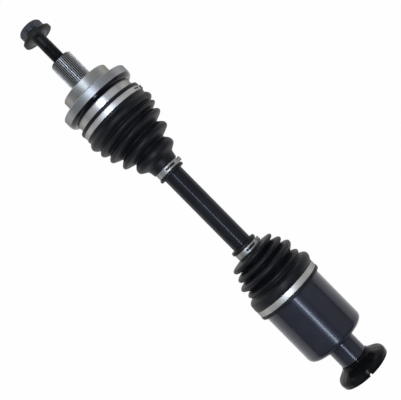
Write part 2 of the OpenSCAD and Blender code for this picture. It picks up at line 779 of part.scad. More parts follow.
module inner_boot() {
    seat_r = can_r + seat_gap;
    grip_r = bar_r + seat_gap;
    end_lip_r = small_collar_r + small_lip_h;
    lip_r = inner_collar_r + inner_lip_h;
    lip_at = inner_band_at + inner_band_w;
    hollow_to = can_start - face_gap;
    color(rubber_black) turned(concat(
        [[grip_r, inner_boot_at], [end_lip_r - lip_bevel, inner_boot_at], [end_lip_r, inner_boot_at + lip_bevel],
            [end_lip_r, inner_small_band_at - lip_bevel], [small_collar_r, inner_small_band_at - lip_draft],
            [small_collar_r, inner_folds_at + lip_draft]],
        inner_folds(0),
        [[inner_collar_r, inner_band_at], [inner_collar_r, lip_at + lip_draft], [lip_r, lip_at + lip_bevel],
            [lip_r, inner_boot_end - lip_bevel], [lip_r - lip_bevel, inner_boot_end], [seat_r, inner_boot_end],
            [seat_r, hollow_to]],
        backwards([for (p = inner_folds(boot_wall)) if (p[1] < hollow_to) p]),
        [[grip_r, inner_folds_at + fold_start]]
    ));
}

module inner_boot_large_clamp() {
    color(stainless) band(inner_band_at, inner_band_w, inner_collar_r + seat_gap);
}

module inner_boot_small_clamp() {
    small_clamp(inner_small_band_at);
}

outer_joint_housing();
hub_bolt();
outer_inner_race();
outer_cage();
for (k = [1:BALLS]) outer_ball(k);
bar_ring(outer_circlip_at);  // outer_race_circlip
outer_boot();
outer_boot_large_clamp();
outer_boot_small_clamp();
axle_bar();
inner_joint_housing();
tripod_spider();
bar_ring(inner_circlip_at);  // spider_circlip
bar_ring(stop_ring_at);  // spider_stop_ring
for (k = [1:TRUNNIONS]) tripod_roller(k);
for (k = [1:TRUNNIONS]) roller_needles(k);
for (k = [1:TRUNNIONS]) roller_washer(k);
for (k = [1:TRUNNIONS]) roller_snap_ring(k);
tripod_wire_ring();
can_plug();
dust_shield();
inner_boot();
inner_boot_large_clamp();
inner_boot_small_clamp();
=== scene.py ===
"""Looks of a drive axle: boots, clamps, bolt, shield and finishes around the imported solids.

Sizes in the classes are millimetres, x along the axle and r out from it. An angle of 0 faces +Z and
90 degrees faces +Y. Meshes are made in metres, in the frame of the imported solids.
"""

import logging
import math
from dataclasses import dataclass, field
from enum import Enum
from typing import Callable, Mapping, Optional, Sequence, Union

import bmesh
import bpy
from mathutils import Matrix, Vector

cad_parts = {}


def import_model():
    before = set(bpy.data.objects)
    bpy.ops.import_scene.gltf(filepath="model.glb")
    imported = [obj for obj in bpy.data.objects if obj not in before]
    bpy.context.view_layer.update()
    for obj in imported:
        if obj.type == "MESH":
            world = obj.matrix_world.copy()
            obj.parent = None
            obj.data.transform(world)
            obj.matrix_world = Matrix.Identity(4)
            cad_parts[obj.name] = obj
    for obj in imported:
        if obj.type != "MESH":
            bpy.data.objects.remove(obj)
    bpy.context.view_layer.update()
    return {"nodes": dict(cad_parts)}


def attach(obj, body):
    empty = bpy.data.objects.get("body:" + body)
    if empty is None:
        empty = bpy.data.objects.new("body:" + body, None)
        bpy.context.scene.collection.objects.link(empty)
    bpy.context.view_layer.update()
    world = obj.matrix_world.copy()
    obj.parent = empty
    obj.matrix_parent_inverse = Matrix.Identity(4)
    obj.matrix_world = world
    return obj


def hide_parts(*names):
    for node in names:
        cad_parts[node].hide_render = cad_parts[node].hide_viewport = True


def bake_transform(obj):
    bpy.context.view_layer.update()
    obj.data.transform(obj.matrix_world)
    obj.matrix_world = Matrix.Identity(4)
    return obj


LOG = logging.getLogger("axle")
MM = 0.001

Colour = tuple[float, float, float, float]
Spot = tuple[float, float]
Row = Callable[[float], Spot]
Warp = Callable[[float, float, float], Vector]


def grey(value: float, blue: float = 0.0) -> Colour:
    """A neutral colour, or a slightly blue one."""
    return (value, value * (1 + 0.3 * blue), value * (1 + blue), 1.0)


def smooth(low: float, high: float, value: float) -> float:
    """Go from 0 to 1 with soft ends while the value goes from low to high."""
    share = min(1.0, max(0.0, (value - low) / (high - low)))
    return share * share * (3 - 2 * share)


class Shade:
    """A shader socket that takes part in Python arithmetic."""

    def __init__(self, graph: "Graph", socket: bpy.types.NodeSocket) -> None:
        """Keep the socket and the graph that it belongs to."""
        self.graph = graph
        self.socket = socket

    def twin(self, name: str) -> "Shade":
        """Another output of the same node."""
        return Shade(self.graph, self.socket.node.outputs[name])

    def __add__(self, other: "Value") -> "Shade":
        """Sum with a value on the right."""
        return self.graph.math("ADD", self, other)

    def __radd__(self, other: float) -> "Shade":
        """Sum with a number on the left."""
        return self.graph.math("ADD", other, self)

    def __sub__(self, other: "Value") -> "Shade":
        """Difference with a value on the right."""
        return self.graph.math("SUBTRACT", self, other)

    def __rsub__(self, other: float) -> "Shade":
        """Difference with a number on the left."""
        return self.graph.math("SUBTRACT", other, self)

    def __mul__(self, other: "Value") -> "Shade":
        """Product with a value on the right."""
        return self.graph.math("MULTIPLY", self, other)

    def __rmul__(self, other: float) -> "Shade":
        """Product with a number on the left."""
        return self.graph.math("MULTIPLY", other, self)


Value = Union[Shade, float]
Setting = Union[str, float, bool]


class Graph:
    """The node tree of one material or of the world."""

    def __init__(self, tree: bpy.types.NodeTree) -> None:
        """Start from an empty tree."""
        tree.nodes.clear()
        self.tree = tree

    def node(
        self,
        kind: str,
        settings: Optional[Mapping[str, Setting]] = None,
        inputs: Optional[Mapping[Union[int, str], Union[Value, Colour]]] = None,
        output: Union[int, str] = 0,
    ) -> Shade:
        """Add one node.

        Args:
            kind: Blender's name for the node's type.
            settings: The node's own settings, set first.
            inputs: Values or links of its sockets.
            output: The output that is returned.

        Returns:
            The chosen output.
        """
        made = self.tree.nodes.new(kind)
        for name, value in (settings or {}).items():
            setattr(made, name, value)
        for name, value in (inputs or {}).items():
            if isinstance(value, Shade):
                self.tree.links.new(value.socket, made.inputs[name])
            else:
                made.inputs[name].default_value = value
        return Shade(self, made.outputs[output]) if made.outputs else Shade(self, made.inputs[0])

    def math(self, operation: str, *values: Value) -> Shade:
        """Add a Math node for an operation on values."""
        return self.node("ShaderNodeMath", {"operation": operation}, dict(enumerate(values)))

    def mix(self, factor: Value, first: Union[Shade, Colour], second: Union[Shade, Colour]) -> Shade:
        """Mix two colours by a factor."""
        return self.node("ShaderNodeMix", {"data_type": "RGBA"}, {0: factor, 6: first, 7: second}, 2)

    def rise(self, value: Value, low: float, high: float) -> Shade:
        """Go softly from 0 to 1 while a value goes from low to high."""
        return self.node(
            "ShaderNodeMapRange",
            {"interpolation_type": "SMOOTHSTEP"},
            {"Value": value, "From Min": low, "From Max": high},
        )

    def within(self, value: Value, low: float, high: float, edge: float) -> Shade:
        """1 between two limits and 0 outside them, with soft edges."""
        return self.rise(value, low - edge, low + edge) * (1 - self.rise(value, high - edge, high + edge))

    def noise(self, vector: Shade, scale: float, detail: float = 3.0) -> Shade:
        """Noise from 0 to 1 at a place."""
        inputs = {"Vector": vector, "Scale": scale, "Detail": detail}
        return self.node("ShaderNodeTexNoise", None, inputs, "Fac")

    def vector(self, x: Value, y: Value, z: Value) -> Shade:
        """A vector from three values."""
        return self.node("ShaderNodeCombineXYZ", None, {"X": x, "Y": y, "Z": z})

    def bump(self, height: Shade, strength: float, depth: float) -> Shade:
        """A normal that follows a height, with the depth in metres."""
        return self.node(
            "ShaderNodeBump", None, {"Height": height, "Strength": strength, "Distance": depth}, "Normal"
        )


@dataclass(frozen=True)
class Spots:
    """Where a point of a turned surface is: its place, how far along and out, and its share of height."""

    place: Shade
    along: Shade
    out: Shade
    turned: Shade
    height: Shade

    @classmethod
    def of(cls, graph: Graph) -> "Spots":
        """Read the places of a surface.

        Args:
            graph: The material's graph.

        Returns:
            The place, how far along the axle and out from it, both as a vector, and the share of height.
        """
        place = graph.node("ShaderNodeTexCoord", None, None, "Object")
        along = graph.node("ShaderNodeSeparateXYZ", None, {"Vector": place}, "X")
        side, up = along.twin("Y"), along.twin("Z")
        out = graph.math("SQRT", side * side + up * up)
        return cls(place, along, out, graph.vector(along, out, 0.0), graph.math("DIVIDE", up, out))


Sockets = dict[str, Union[Value, Colour]]


@dataclass(frozen=True)
class Finish:
    """A finish with a name, which its own class turns into shader sockets."""

    name: str

    def sockets(self, graph: Graph, spots: Spots) -> Sockets:
        """Values and links of the surface shader.

        Args:
            graph: The material's graph.
            spots: The places on the surface.

        Returns:
            The sockets of the surface shader that this finish sets.
        """
        raise NotImplementedError

    def material(self) -> bpy.types.Material:
        """The finish's material, made the first time that it is asked for.

        Returns:
            The material.
        """
        title = f"finish_{self.name}"
        known = bpy.data.materials.get(title)
        if known:
            return known
        made = bpy.data.materials.new(title)
        made.use_nodes = True
        graph = Graph(made.node_tree)
        surface = graph.node("ShaderNodeBsdfPrincipled", None, self.sockets(graph, Spots.of(graph)))
        graph.node("ShaderNodeOutputMaterial", None, {"Surface": surface})
        return made


@dataclass(frozen=True)
class TurnedSteel(Finish):
    """Bright turned steel with fine tool marks that run round the axle."""

    light: float = 0.64
    dark: float = 0.40
    rough: float = 0.38
    rim: Colour = (0.42, 0.42, 0.42, 1.0)
    mark_scale: float = 1500.0
    mark_depth: float = 0.00004
    # The darker tone of the random patches, and of the painted shade where the steel faces sideways or
    # down.
    stain_and_shade_colour: Colour = (0.325, 0.32, 0.285, 1.0)
    stain_share: float = 0.55
    stain_scale: float = 75.0
    stain_edge: Spot = (0.46, 0.66)
    # Painted shade: how much darker the steel is painted where it faces sideways or down, and where that
    # starts.
    side_shade_share: float = 0.75
    side_shade_edge: Spot = (0.55, 1.08)
    mark_rough: float = 0.12
    mark_bump: float = 0.35

    def tone(self, graph: Graph, spots: Spots) -> tuple[Shade, Shade]:
        """Colour and tool marks of the bare steel, with random darker patches, and painted shade that
        darkens it where the surface faces sideways or down.

        Args:
            graph: The material's graph.
            spots: The places on the surface.

        Returns:
            The colour, and the height of the tool marks.
        """
        marks = graph.noise(spots.turned, self.mark_scale, 2.0)
        bands = graph.noise(spots.turned, self.mark_scale / 6, 2.0)
        patches = graph.rise(graph.noise(spots.place, self.stain_scale, 5.0), *self.stain_edge)
        bare = graph.mix(0.5 * marks + 0.5 * bands, grey(self.dark, 0.03), grey(self.light, 0.03))
        # Painted shade: darker where the surface faces sideways or down, away from the lamp above; the
        # random patches are real discolouring.
        shaded_sides = self.side_shade_share * (1 - graph.rise(spots.height + 0.3 * bands, *self.side_shade_edge))
        stain_and_shade_mask = graph.math("MAXIMUM", shaded_sides, patches * self.stain_share)
        return graph.mix(stain_and_shade_mask, bare, self.stain_and_shade_colour), marks

    def sockets(self, graph: Graph, spots: Spots) -> Sockets:
        """Sockets of bare turned steel."""
        colour, marks = self.tone(graph, spots)
        return {
            "Base Color": colour,
            "Metallic": 1.0,
            "Roughness": self.rough + self.mark_rough * marks,
            "Specular Tint": self.rim,
            "Normal": graph.bump(marks, self.mark_bump, self.mark_depth),
        }


@dataclass(frozen=True)
class HousingSteel(TurnedSteel):
    """The outer housing: turned steel with a painted highlight on top of the bell, a spline whose tooth
    roots are painted dark as shade, and a glossy black back behind the flange.
    """

    flange: Spot = (16.4, 27.3)
    flange_tone: Colour = (0.35, 0.36, 0.38, 1.0)
    flange_share: float = 0.72
    shoulder_share: float = 0.4
    # Painted highlight: colour, strength and reach of the lighter top of the bell.
    bell_highlight_tone: Colour = (0.93, 0.93, 0.92, 1.0)
    bell_highlight_share: float = 0.6
    bell_highlight_edge: Spot = (0.62, 0.95)
    bell_rough: float = 0.06
    back: Spot = (27.3, 33.5)
    back_inside: float = 41.9
    spline_end: float = -0.6
    spline_root: Spot = (14.25, 14.95)
    # Painted shade: the roots between the spline teeth are painted near black.
    root_shade_colour: Colour = (0.045, 0.046, 0.052, 1.0)
    tooth_colour: Colour = (0.42, 0.42, 0.42, 1.0)
    lacquer: Colour = (0.006, 0.006, 0.009, 1.0)
    lacquer_rough: float = 0.16

    def sockets(self, graph: Graph, spots: Spots) -> Sockets:
        """Sockets of the housing, by place along and out from the axle."""
        colour, marks = self.tone(graph, spots)
        on_flange = graph.within(spots.along, self.flange[0] * MM, self.flange[1] * MM, 0.15 * MM)
        on_bell = graph.rise(spots.along, (self.back[1] - 0.2) * MM, self.back[1] * MM)
        on_shoulder = graph.within(spots.along, self.spline_end * MM, self.flange[0] * MM, 0.15 * MM)
        colour = graph.mix(on_shoulder * self.shoulder_share, colour, self.stain_and_shade_colour)
        colour = graph.mix(on_flange * self.flange_share, colour, self.flange_tone)
        # Painted highlight: the bell is painted lighter towards its top, where the lamp above shines on it.
        painted_bell_highlight = on_bell * self.bell_highlight_share * graph.rise(spots.height, *self.bell_highlight_edge)
        colour = graph.mix(painted_bell_highlight, colour, self.bell_highlight_tone)
        on_spline = 1 - graph.rise(spots.along, (self.spline_end - 0.4) * MM, self.spline_end * MM)
        # Painted shade in the spline: near black at the tooth roots, lighter on the teeth.
        tooth = graph.rise(spots.out, self.spline_root[0] * MM, self.spline_root[1] * MM)
        worn = graph.mix(tooth, self.root_shade_colour, self.tooth_colour)
        colour = graph.mix(on_spline, colour, worn)
        black = graph.within(spots.along, self.back[0] * MM, self.back[1] * MM, 0.15 * MM)
        black = black * graph.rise(spots.out, (self.back_inside - 0.2) * MM, self.back_inside * MM)
        bare_rough = self.rough + self.mark_rough * marks - self.bell_rough * on_bell
        return {
            "Base Color": graph.mix(black, colour, self.lacquer),
            "Metallic": 1 - black,
            "Roughness": bare_rough * (1 - black) + self.lacquer_rough * black,
            "Specular Tint": self.rim,
            "Normal": graph.bump(marks * (1 - black), self.mark_bump, self.mark_depth),
        }


@dataclass(frozen=True)
class ForgedSteel(Finish):
    """Hardened and ground steel of the pieces inside the joints, with a thin film of grease."""

    tone: Colour = (0.42, 0.43, 0.45, 1.0)
    oiled: Colour = (0.20, 0.19, 0.17, 1.0)
    rough: float = 0.26
    grain_scale: float = 1800.0
    grain_depth: float = 0.00002
    film_scale: float = 160.0
    film_edge: Spot = (0.45, 0.75)

    def sockets(self, graph: Graph, spots: Spots) -> Sockets:
        """Sockets of ground steel."""
        grain = graph.noise(spots.place, self.grain_scale, 3.0)
        film = graph.rise(graph.noise(spots.place, self.film_scale, 4.0), *self.film_edge)
        return {
            "Base Color": graph.mix(film * 0.6, self.tone, self.oiled),
            "Metallic": 1.0,
            "Roughness": self.rough + 0.15 * grain - 0.08 * film,
            "Normal": graph.bump(grain, 0.15, self.grain_depth),
        }


@dataclass(frozen=True)
class BlackBolt(Finish):
    """Blue-black bolt: dark head, olive oxide under the flange and a black shank."""

    head: Colour = (0.031, 0.035, 0.044, 1.0)
    oxide: Colour = (0.036, 0.033, 0.024, 1.0)
    shank: Colour = (0.015, 0.0165, 0.0180, 1.0)
    flange: Spot = (-84.8, -78.6)
    flange_from: float = 12.0
    metal: float = 0.35
    gloss: float = 0.2
    rough: float = 0.33
    grain_scale: float = 900.0
    grain_depth: float = 0.00005
    cloud_scale: float = 140.0

    def sockets(self, graph: Graph, spots: Spots) -> Sockets:
        """Sockets of the bolt, by place along the axle."""
        grain = graph.noise(spots.place, self.grain_scale, 4.0)
        cloud = graph.noise(spots.place, self.cloud_scale, 3.0)
        seat = graph.within(spots.along, self.flange[0] * MM, self.flange[1] * MM, 0.3 * MM)
        seat = seat * graph.rise(spots.out, self.flange_from * MM, (self.flange_from + 4) * MM)
        turned = graph.rise(spots.along, (self.flange[1] - 0.3) * MM, self.flange[1] * MM)
        colour = graph.mix(turned, self.head, self.shank)
        colour = graph.mix(seat * (0.55 + 0.45 * cloud), colour, self.oxide)
        return {
            "Base Color": colour,
            "Metallic": self.metal,
            "Specular IOR Level": self.gloss,
            "Roughness": self.rough + 0.18 * grain + 0.15 * seat,
            "Normal": graph.bump(grain, 0.2, self.grain_depth),
        }


@dataclass(frozen=True)
class Rubber(Finish):
    """Moulded black rubber: satin, faintly blue, with flow lines and a fine grain."""

    tone: Colour = (0.0072, 0.0076, 0.0098, 1.0)
    worn: Colour = (0.0150, 0.0156, 0.0195, 1.0)
    rough: float = 0.40
    gloss: float = 0.24
    grain_scale: float = 1400.0
    grain_depth: float = 0.00008
    flow_scale: float = 420.0
    cloud_scale: float = 55.0
    cloud_edge: Spot = (0.4, 0.75)

    def sockets(self, graph: Graph, spots: Spots) -> Sockets:
        """Sockets of moulded rubber."""
        grain = graph.noise(spots.place, self.grain_scale, 3.0)
        flow = graph.noise(spots.turned, self.flow_scale, 2.0)
        cloud = graph.rise(graph.noise(spots.place, self.cloud_scale, 4.0), *self.cloud_edge)
        return {
            "Base Color": graph.mix(cloud * 0.7, self.tone, self.worn),
            "Roughness": self.rough + 0.10 * flow + 0.10 * cloud,
            "Specular IOR Level": self.gloss,
            "Normal": graph.bump(0.6 * grain + 0.4 * flow, 0.25, self.grain_depth),
        }


@dataclass(frozen=True)
class BandSteel(Finish):
    """Rolled stainless strip with lines along the band, and painted shade that darkens it where it faces
    sideways or down.
    """

    light: Colour = (0.86, 0.855, 0.84, 1.0)
    dark: Colour = (0.62, 0.62, 0.61, 1.0)
    rough: float = 0.42
    rim: Colour = (0.45, 0.45, 0.45, 1.0)
    # Painted shade: how much darker the band is painted where it faces sideways or down, and the grey it
    # goes to.
    side: float = 0.7
    side_shade_tone: float = 0.3
    line_scale: float = 2600.0
    line_depth: float = 0.00003
    scuff_scale: float = 240.0
    scuff_edge: Spot = (0.5, 0.8)
    side_shade_edge: Spot = (0.45, 0.95)

    def sockets(self, graph: Graph, spots: Spots) -> Sockets:
        """Sockets of rolled strip."""
        lines = graph.noise(spots.turned, self.line_scale, 2.0)
        scuffs = graph.rise(graph.noise(spots.place, self.scuff_scale, 4.0), *self.scuff_edge)
        # Painted shade: the mask here darkens the band where it faces sideways or down.
        dull = self.side * (1 - graph.rise(spots.height, *self.side_shade_edge))
        strip = graph.mix(0.6 * lines + 0.4 * scuffs, self.light, self.dark)
        return {
            "Base Color": graph.mix(dull, strip, grey(self.side_shade_tone)),
            "Metallic": 1.0,
            "Roughness": self.rough + 0.14 * lines,
            "Specular Tint": self.rim,
            "Normal": graph.bump(lines, 0.2, self.line_depth),
        }


@dataclass(frozen=True)
class BlackPaint(Finish):
    """Baked black paint with a slight orange peel and a clear gloss."""

    tone: Colour = (0.0085, 0.0090, 0.0115, 1.0)
    pale: Colour = (0.0130, 0.0140, 0.0170, 1.0)
    rough: float = 0.42
    coat: float = 0.22
    coat_rough: float = 0.16
    under: float = 0.15
    tint: Colour = (0.78, 0.83, 1.0, 1.0)
    peel_bump: float = 0.006
    peel_depth: float = 0.00006
    peel_scale: float = 520.0
    dust_scale: float = 2600.0
    cloud_scale: float = 40.0
    cloud_edge: Spot = (0.35, 0.7)

    def sockets(self, graph: Graph, spots: Spots) -> Sockets:
        """Sockets of baked paint."""
        peel = graph.noise(spots.place, self.peel_scale, 2.0)
        dust = graph.noise(spots.place, self.dust_scale, 2.0)
        cloud = graph.rise(graph.noise(spots.place, self.cloud_scale, 3.0), *self.cloud_edge)
        return {
            "Base Color": graph.mix(cloud, self.tone, self.pale),
            "Roughness": self.rough + 0.10 * dust,
            "Coat Weight": self.coat,
            "Coat Roughness": self.coat_rough,
            "Specular IOR Level": self.under,
            "Specular Tint": self.tint,
            "Normal": graph.bump(0.7 * peel + 0.3 * dust, self.peel_bump, self.peel_depth),
        }


@dataclass(frozen=True)
class GlossPlastic(Finish):
    """Moulded black plastic with a gloss skin."""

    tone: Colour = (0.0060, 0.0060, 0.0066, 1.0)
    pale: Colour = (0.0110, 0.0108, 0.0110, 1.0)
    rough: float = 0.15
    gloss: float = 0.09
    skin_scale: float = 300.0
    skin_depth: float = 0.00010
    flow_scale: float = 70.0
    flow_edge: Spot = (0.4, 0.7)

    def sockets(self, graph: Graph, spots: Spots) -> Sockets:
        """Sockets of gloss plastic."""
        skin = graph.noise(spots.place, self.skin_scale, 3.0)
        flow = graph.rise(graph.noise(spots.place, self.flow_scale, 3.0), *self.flow_edge)
        return {
            "Base Color": graph.mix(flow, self.tone, self.pale),
            "Roughness": self.rough + 0.06 * skin,
            "Specular IOR Level": self.gloss,
            "Normal": graph.bump(skin, 0.05, self.skin_depth),
        }


class Look(Enum):
    """The finishes on the axle."""

    HOUSING = HousingSteel("turned_housing_steel")
    BOLT = BlackBolt("blue_black_bolt")
    RUBBER = Rubber("boot_rubber")
    BAND = BandSteel("rolled_band_steel")
    SMALL_BAND = BandSteel("rolled_band_steel_dull", (0.50, 0.50, 0.49, 1.0), (0.34, 0.34, 0.335, 1.0))
    WARM_BAND = BandSteel("rolled_band_steel_warm", (0.80, 0.78, 0.75, 1.0), (0.60, 0.59, 0.565, 1.0))
    BAR = BlackPaint("bar_paint")
    CAN = BlackPaint(
        "can_paint", (0.0176, 0.0180, 0.0270, 1.0), (0.0228, 0.0233, 0.0345, 1.0),
        rough=0.24, coat=0.34, coat_rough=0.15, under=0.33,
    )
    SHIELD = GlossPlastic("shield_plastic_gloss")
    INSIDE = ForgedSteel("ground_inner_steel")
    BALL = ForgedSteel("polished_ball_steel", (0.62, 0.63, 0.65, 1.0), (0.45, 0.45, 0.44, 1.0), 0.08)
    PLUG = TurnedSteel("pressed_plug_steel", 0.55, 0.42, 0.30)

    def dress(self, piece: bpy.types.Object) -> None:
        """Give a piece this finish and nothing else."""
        piece.data.materials.clear()
        piece.data.materials.append(self.value.material())


def rounded(corners: Sequence[tuple[float, float, float]], steps: int = 5) -> list[Spot]:
    """Round the corners of a closed outline.

    Args:
        corners: Each corner as x, r and its radius.
        steps: Points on each rounded corner.

    Returns:
        The outline's points.
    """
    points: list[Spot] = []
    for k, (x, r, radius) in enumerate(corners):
        here = Vector((x, r))
        before = Vector(corners[k - 1][:2]) - here
        after = Vector(corners[(k + 1) % len(corners)][:2]) - here
        if radius < 1e-4:
            points.append((x, r))
            continue
        start = here + before.normalized() * min(radius, before.length * 0.48)
        end = here + after.normalized() * min(radius, after.length * 0.48)
        for s in range(steps + 1):
            t = s / steps
            spot = start * (1 - t) ** 2 + here * (2 * t * (1 - t)) + end * t ** 2
            points.append((spot.x, spot.y))
    return points


def fixed(x: float, r: float) -> Row:
    """A row of a turned surface that is the same all round."""
    return lambda angle: (x, r)


def straight(x: float, r: float, angle: float) -> Vector:
    """Where a point of a turned surface goes, in metres."""
    return Vector((x, r * math.sin(angle), r * math.cos(angle))) * MM


def turn(name: str, rows: Sequence[Row], segments: int = 128, warp: Warp = straight) -> bpy.types.Object:
    """Make a closed surface by turning a closed outline about the axle.

    Args:
        name: The piece's name.
        rows: The outline's points in order, each a function of the angle.
        segments: Points round the axle.
        warp: Where each point goes.

    Returns:
        The piece, with smooth faces and crisp edges.
    """
    shape = bmesh.new()
    angles = [2 * math.pi * k / segments for k in range(segments)]
    grid = [[shape.verts.new(warp(*row(a), a)) for a in angles] for row in rows]
    for i, ring in enumerate(grid):
        following = grid[(i + 1) % len(grid)]
        for j in range(segments):
            n = (j + 1) % segments
            shape.faces.new((ring[j], ring[n], following[n], following[j]))
    return settle(name, shape)


def settle(name: str, shape: bmesh.types.BMesh, crease: float = 38.0) -> bpy.types.Object:
    """Turn a mesh under construction into a piece of the scene.

    Args:
        name: The piece's name.
        shape: The mesh, which is freed.
        crease: Edges sharper than this many degrees stay crisp.

    Returns:
        The piece.
    """
    bmesh.ops.recalc_face_normals(shape, faces=shape.faces)
    mesh = bpy.data.meshes.new(name)
    shape.to_mesh(mesh)
    shape.free()
    mesh.shade_smooth()
    mesh.set_sharp_from_angle(angle=math.radians(crease))
    piece = bpy.data.objects.new(name, mesh)
    bpy.context.scene.collection.objects.link(piece)
    return piece


Fold = tuple[float, float, float]


def bellows(first: Spot, folds: Sequence[Fold], last: Spot, soft: float, steps: int = 5) -> list[Spot]:
    """A bellows outline with flat round crests, straight flanks and tight hollows.

    Args:
        first: Where the outline starts.
        folds: Crests and hollows in turn, each as x, r and half the width of its flat.
        last: Where the outline ends.
        soft: Radius of the rounding at the crests, and half of it at the hollows.
        steps: Points on each rounded corner.

    Returns:
        The outline's points, with both ends.
    """
    corners: list[Fold] = [(*first, 0.0)]
    for x, r, flat in folds:
        if flat:
            corners += [(x - flat, r, soft), (x + flat, r, soft)]
        else:
            corners.append((x, r, soft / 2))
    return rounded(corners + [(*last, 0.0)], steps)


def offset(points: Sequence[Spot], depth: float) -> list[Spot]:
    """Move an open outline inwards, square to itself."""
    moved = []
    for k, (x, r) in enumerate(points):
        before, after = points[max(k - 1, 0)], points[min(k + 1, len(points) - 1)]
        along = Vector(after) - Vector(before)
        along.normalize()
        moved.append((x + depth * along.y, r - depth * along.x))
    return moved


def keep(piece: bpy.types.Object, body: str, slot: str, *nodes: str) -> bpy.types.Object:
    """Let a piece ride on a body and stand for the nodes that it replaces."""
    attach(piece, body)
    return stand_for(piece, slot, *nodes)


def stand_for(piece: bpy.types.Object, slot: str, *nodes: str) -> bpy.types.Object:
    """Let a piece stand for the nodes that it replaces."""
    if nodes:
        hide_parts(*nodes)
    LOG.info("%s: %d faces", piece.name, len(piece.data.polygons))
    return piece


@dataclass
class Assembly:
    """A sub-assembly: its meshes are built first and dressed after."""

    pieces: list[tuple[bpy.types.Object, Look]] = field(default_factory=list, init=False)

    def build(self) -> None:
        """Make the meshes and tie them to their bodies."""
        raise NotImplementedError

    def dress(self) -> None:
        """Give every mesh its finish."""
        for piece, look in self.pieces:
            look.dress(piece)


@dataclass
class OuterBoot(Assembly):
    """The boot on the outer joint: large collar, five folds, flare and small collar."""

    seat_r: float = 41.65
    grip_r: float = 13.25
    wall: float = 2.0
    lip: tuple[float, float, float] = (43.0, 47.2, 46.45)
    collar_r: float = 44.65
    collar_end: float = 54.3
    bell_end: float = 56.1
    folds: tuple[Fold, ...] = (
        (58.0, 45.2, 0.0), (65.0, 49.5, 2.5), (71.8, 42.6, 0.0), (76.3, 46.9, 1.7), (82.2, 37.6, 0.0),
        (88.6, 44.0, 2.0), (96.6, 30.4, 0.0), (105.4, 38.2, 2.5), (113.4, 23.4, 0.0), (123.0, 29.2, 3.4),
        (132.0, 19.6, 0.0),
    )
    soft: float = 3.6
    flare_end: Spot = (141.2, 17.9)
    small_collar: tuple[float, float, float] = (141.6, 149.6, 15.75)
    end_lip: Spot = (153.6, 18.15)
    lean: float = 2.6
    lean_rise: Spot = (64.0, 82.0)
    lean_fall: Spot = (98.0, 124.0)
    ripple: float = 0.12
    ripple_twist: float = 0.11
    bend: Spot = (58.0, 125.0)
    segments: int = 144

    def outline(self) -> list[Spot]:
        """The closed outline of the boot's wall.

        Returns:
            Points from the large lip along the outside and back along the inside.
        """
        lip_from, lip_to, lip_r = self.lip
        front = rounded([
            (lip_from, self.seat_r, 0.0), (lip_from, lip_r, 1.2), (lip_to, lip_r, 0.5),
            (lip_to + 0.2, self.collar_r, 0.2), (self.collar_end, self.collar_r, 0.2),
            (self.collar_end + 0.2, lip_r - 0.3, 0.2), (self.collar_end, self.seat_r, 0.0),
        ], 3)[:-1]
        folds = bellows((self.collar_end + 0.7, lip_r), self.folds, self.flare_end, self.soft)
        band_from, band_to, band_r = self.small_collar
        end_x, end_r = self.end_lip
        back = rounded([
            (self.flare_end[0] - 2, end_r, 0.0), (band_from, band_r, 0.2), (band_to, band_r, 0.2),
            (band_to + 0.4, end_r, 0.7), (end_x, end_r, 1.4), (end_x, self.grip_r, 0.6),
            (band_from, self.grip_r, 0.0),
        ], 3)[1:]
        inside = reversed(offset(folds, self.wall))
        kept = [spot for spot in inside if self.bell_end < spot[0] < band_from - 3]
        return front + folds + back + kept + [(self.bell_end, self.seat_r)]

    def warp(self, x: float, r: float, angle: float) -> Vector:
        """Lean the middle folds as the boot hangs, and ripple the rubber a little."""
        share = smooth(*self.lean_rise, x) * (1 - smooth(*self.lean_fall, x))
        ripple = self.ripple * share * math.sin(3 * angle + self.ripple_twist * x)
        return straight(x - self.lean * share * math.sin(angle), r + ripple, angle)

    def build(self) -> None:
        """Make the boot in place of the imported one."""
        piece = turn("outer_boot_rubber", [fixed(*p) for p in self.outline()], self.segments, self.warp)
        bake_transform(piece)
        self.pieces.append((stand_for(piece, "boot_rubber", "outer_boot"), Look.RUBBER))


